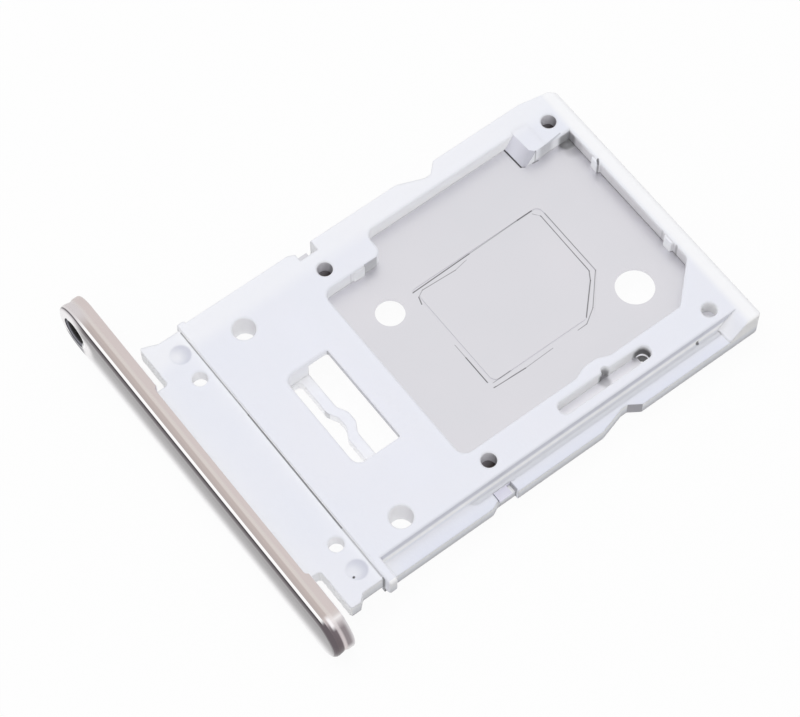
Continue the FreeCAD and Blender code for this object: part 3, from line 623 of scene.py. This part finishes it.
def dimples(graph, colour, plan):
    """Painted shade in the dimples, each with a paler middle off its centre."""
    shift_x, shift_y = DIMPLE_MIDDLE_SHIFT
    for across, along in DIMPLES:
        centre = (across + shift_x, along + shift_y)
        hollow = graph.spot(plan, (across, along), DIMPLE_RADIUS, DIMPLE_FADE)
        middle = graph.spot(plan, centre, DIMPLE_MIDDLE_RADIUS, DIMPLE_MIDDLE_FADE)
        shade = graph.math("MULTIPLY_ADD", middle, DIMPLE_MIDDLE_LIFT, DIMPLE_SHADE)
        colour = graph.mix(graph.both(hollow, shade), colour, DIMPLE_SHADE_TONE)
    return colour


def moulded_plastic():
    """Cool white moulding with a fine satin grain, painted with the soft shadow lines of its corners and
    the light and shade of its walls.
    """
    material = bpy.data.materials.new("moulded_plastic")
    graph = Graph(material)
    here = graph.place()
    plan = graph.plan(here)
    x, y, z = graph.split(here)
    normal = graph.add("ShaderNodeNewGeometry").outputs["True Normal"]
    upright = graph.under(graph.math("ABSOLUTE", graph.split(normal)["Z"]), *UPRIGHT)
    by_step = graph.both(graph.step(x, *STEP_WALL), upright)
    by_far_wall = graph.both(graph.step(y, *FAR_WALL), upright)
    colour = plastic_tops(graph, here, normal, graph.math("MAXIMUM", by_step, by_far_wall))
    colour = inner_walls(graph, colour, here, normal, by_step, by_far_wall)
    colour = outer_walls(graph, colour, here, normal, upright)
    colour = hole_walls(graph, colour, here, upright)
    colour = dimples(graph, colour, plan)
    # Painted shadow lines at corners, wall feet and gaps.
    colour = graph.shadow_lined(colour, plan, PLASTIC_SHADOW_LINES)
    for shadow_lines, limit, soft in SHADOW_LINES_BELOW:
        colour = graph.mix(graph.under(z, limit, soft), colour, graph.shadow_lined(colour, plan, shadow_lines))
    # Painted light: bounced light leaves the plastic as from clear white, which lightens the walls near
    # it.
    colour = graph.mix(graph.seen_by_light(), colour, CLEAR)
    grain = graph.noise(here, *PLASTIC_GRAIN)
    graph.finish({
        "Base Color": colour,
        "Roughness": graph.math("MULTIPLY_ADD", grain, *PLASTIC_ROUGHNESS),
        "Specular IOR Level": PLASTIC_GLOSS,
        "Subsurface Weight": PLASTIC_GLOW_SHARE,
        "Subsurface Radius": PLASTIC_GLOW_SPREAD,
        "Subsurface Scale": PLASTIC_GLOW_REACH * MM,
        "Normal": graph.soft_edges(graph.bump(grain, PLASTIC_GRAIN_HEIGHT), EDGE_RADIUS),
    })
    return material


def satin_steel():
    """Thin steel sheet with a very fine rolled grain, painted light on its slot floor, painted dark
    reflections in its pin-hole floors and painted shadow lines.
    """
    material = bpy.data.materials.new("satin_steel")
    graph = Graph(material)
    here = graph.place()
    plan = graph.plan(here)
    x = graph.split(here)["X"]
    colour = graph.mix(graph.noise(here, SHEET_MOTTLE_SCALE), SHEET_DARKER, SHEET_LIGHTER)
    # Painted light: the sheet is lightened on the slot's floor.
    colour = graph.mix(graph.between(x, *SLOT_AREA), colour, SLOT_FLOOR_LIGHT)
    # Painted reflection: the pin-hole floors are dark in the middle and paler to the sides.
    for centre_x, centre_y, radius in PIN_HOLES:
        place = graph.math("MULTIPLY_ADD", graph.math("SUBTRACT", x, centre_x), PIN_FLOOR_SPREAD, 0.5)
        spot = graph.spot(plan, (centre_x, centre_y), radius + PIN_FLOOR_MARGIN, PIN_FLOOR_MARGIN)
        colour = graph.mix(spot, colour, graph.ramp(place, PIN_FLOOR_REFLECTION))
    colour = graph.mix(graph.step(x, *TAB), colour, TAB_TONE)
    colour = graph.shadow_lined(colour, plan, PLATE_SHADOW_LINES + CORNER_SHADOWS)
    # Painted light: bounced light leaves the sheet as from clear white.
    colour = graph.mix(graph.seen_by_light(), colour, CLEAR)
    stretched = graph.add("ShaderNodeMapping", {"Vector": here, "Scale": SHEET_GRAIN_STRETCH}).outputs[0]
    graph.finish({
        "Base Color": colour,
        "Metallic": 1.0,
        "Roughness": SHEET_ROUGHNESS,
        "Normal": graph.bump(graph.noise(stretched, *SHEET_GRAIN), SHEET_GRAIN_HEIGHT),
    })
    return material


def band_tone(graph, turn, depth, left_end):
    """Satin band round the metal's edge with painted reflections: front stretch, fold, waist and rear
    stretch, and a grey front at the left end.
    """
    rear_edge = graph.both(graph.step(depth, *REAR_EDGE_FROM), graph.step(turn, *REAR_EDGE_TURN))
    rear = graph.mix(rear_edge, graph.ramp(turn, REAR_BAND), REAR_EDGE_TONE)
    band = graph.mix(graph.step(depth, *FOLD_FROM), graph.ramp(turn, FRONT_BAND), graph.ramp(turn, FOLD))
    band = graph.mix(graph.step(depth, *WAIST_FROM), band, graph.ramp(turn, WAIST))
    band = graph.mix(graph.step(depth, *REAR_FROM), band, rear)
    return graph.mix(graph.both(left_end, graph.under(depth, *LEFT_END_BAND_TO)), band, LEFT_END_REFLECTION)


def rounding_tone(graph, turn, depth, left_end):
    """Polished rounding between face and band, with a painted reflection of a light and a dark line."""
    share = graph.math("DIVIDE", graph.math("SUBTRACT", ROUNDING_DEPTH, depth), ROUNDING_DEPTH)
    rounding = graph.mix(left_end, graph.ramp(share, ROUNDING), graph.ramp(share, LEFT_ROUNDING))
    return graph.mix(graph.step(turn, *DARK_TURN), rounding, DARK_ROUNDING)


def face_tone(graph, x, z, radius, left_end):
    """Polished front face with a painted reflection, pale at the bottom and dark higher up, pale round the
    eject hole and dark below it.
    """
    face = graph.ramp(graph.math("DIVIDE", z, FACE_HEIGHT), FACE)
    pale = graph.both(graph.under(radius, *PALE_RADIUS), graph.under(z, *PALE_BELOW))
    face = graph.mix(graph.math("MAXIMUM", pale, left_end), face, PALE_TONE)
    under_hole = graph.both(graph.under(z, *UNDER_HOLE_BELOW), graph.between(x, *UNDER_HOLE))
    return graph.mix(under_hole, face, UNDER_HOLE_TONE)


def front_metal():
    """Champagne metal: a satin band round the edge, and a polished rounding, face and hole mouth, with
    painted reflections and painted shade in the hole.
    """
    material = bpy.data.materials.new("front_metal")
    graph = Graph(material)
    here = graph.place()
    x, y, z = graph.split(here)
    depth = graph.math("ADD", y, DATUM[1])
    over = graph.math("SUBTRACT", z, FACE_MIDDLE)
    past_centre = graph.math("MAXIMUM", graph.math("SUBTRACT", x, END_CENTRE), 0.0)
    turn = graph.math("DIVIDE", graph.math("ARCTAN2", past_centre, over), math.pi)
    left_end = graph.under(x, *LEFT_END)
    from_hole = graph.math("SUBTRACT", x, EJECT_PLACE)
    squares = graph.math("ADD", graph.both(from_hole, from_hole), graph.both(over, over))
    radius = graph.math("SQRT", squares)

    # Painted highlight on the upper half of the hole's ring, painted shade on its lower half.
    ring = graph.between(radius, *RING)
    upper = graph.step(graph.math("ADD", over, from_hole), *RING_UPPER)
    ring_tone = graph.mix(upper, graph.ramp(radius, LOWER_RING), WHITE)
    face = graph.mix(ring, face_tone(graph, x, z, radius, left_end), ring_tone)
    rounding = rounding_tone(graph, turn, depth, left_end)
    band = band_tone(graph, turn, depth, left_end)
    colour = graph.mix(graph.step(depth, ROUNDING_DEPTH, ROUNDING_FADE), rounding, band)
    colour = graph.mix(graph.step(depth, *FACE_EDGE), face, colour)
    colour = graph.mix(ring, colour, face)
    # Painted shade deep in the eject hole.
    in_hole = graph.under(radius, *BORE_RADIUS)
    colour = graph.mix(in_hole, colour, graph.ramp(depth, BORE))
    # Painted light: the rear face, and the whole metal for bounced light, show as clear white.
    painted_bright = graph.math("MAXIMUM", graph.step(depth, *BACK_FROM), graph.seen_by_light())
    colour = graph.mix(painted_bright, colour, CLEAR)
    matt = graph.math("MAXIMUM", in_hole, graph.both(ring, graph.flip(upper)))
    rough = graph.mix(graph.step(depth, *SATIN_FROM), POLISHED, SATIN)
    graph.finish({
        "Base Color": colour,
        "Metallic": graph.flip(matt),
        "Roughness": graph.mix(matt, rough, MATT),
        "Normal": graph.bump(graph.noise(here, *METAL_GRAIN), METAL_GRAIN_HEIGHT),
    })
    return material


def far_lug_lead():
    """Sloping near end of the far lug, past the solid's own slope, open where the frame hides it."""
    datum = Vector(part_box("faceplate")[0]) + Vector(DATUM) * MM
    rings = [(LUG_FOOT, PLATE_TOP), (LUG_HEAD, LUG_TOP)]
    points = [datum + Vector((x, y, height)) * MM for ring, height in rings for x, y in ring]
    count = len(LUG_FOOT)
    sides = [(i, i + 1, count + i + 1, count + i) for i in range(LUG_SIDES_SHOWN)]
    mesh = bpy.data.meshes.new("far_lug_lead")
    mesh.from_pydata(points, [], [tuple(range(count, 2 * count))] + sides)
    mesh.materials.append(bpy.data.materials["moulded_plastic"])
    item = bpy.data.objects.new("far_lug_lead", mesh)
    bpy.context.scene.collection.objects.link(item)
    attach(item, "root")


FINISHES = {"faceplate": front_metal, "support_plate": satin_steel, "tray_frame": moulded_plastic}

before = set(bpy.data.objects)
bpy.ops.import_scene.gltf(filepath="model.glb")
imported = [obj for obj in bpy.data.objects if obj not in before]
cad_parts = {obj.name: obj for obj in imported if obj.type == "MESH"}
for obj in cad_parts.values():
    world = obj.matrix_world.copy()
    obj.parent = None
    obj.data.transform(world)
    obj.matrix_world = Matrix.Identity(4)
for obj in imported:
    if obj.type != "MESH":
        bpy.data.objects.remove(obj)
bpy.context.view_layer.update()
for node_name, finish_maker in FINISHES.items():
    node_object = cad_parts[node_name]
    node_object.data.materials.clear()
    node_object.data.materials.append(finish_maker())
far_lug_lead()
sky()
lamp("key", KEY_PLACE, KEY_SIZE, KEY_LEVEL)
floor()
camera()
bpy.context.scene.view_settings.view_transform = "Standard"
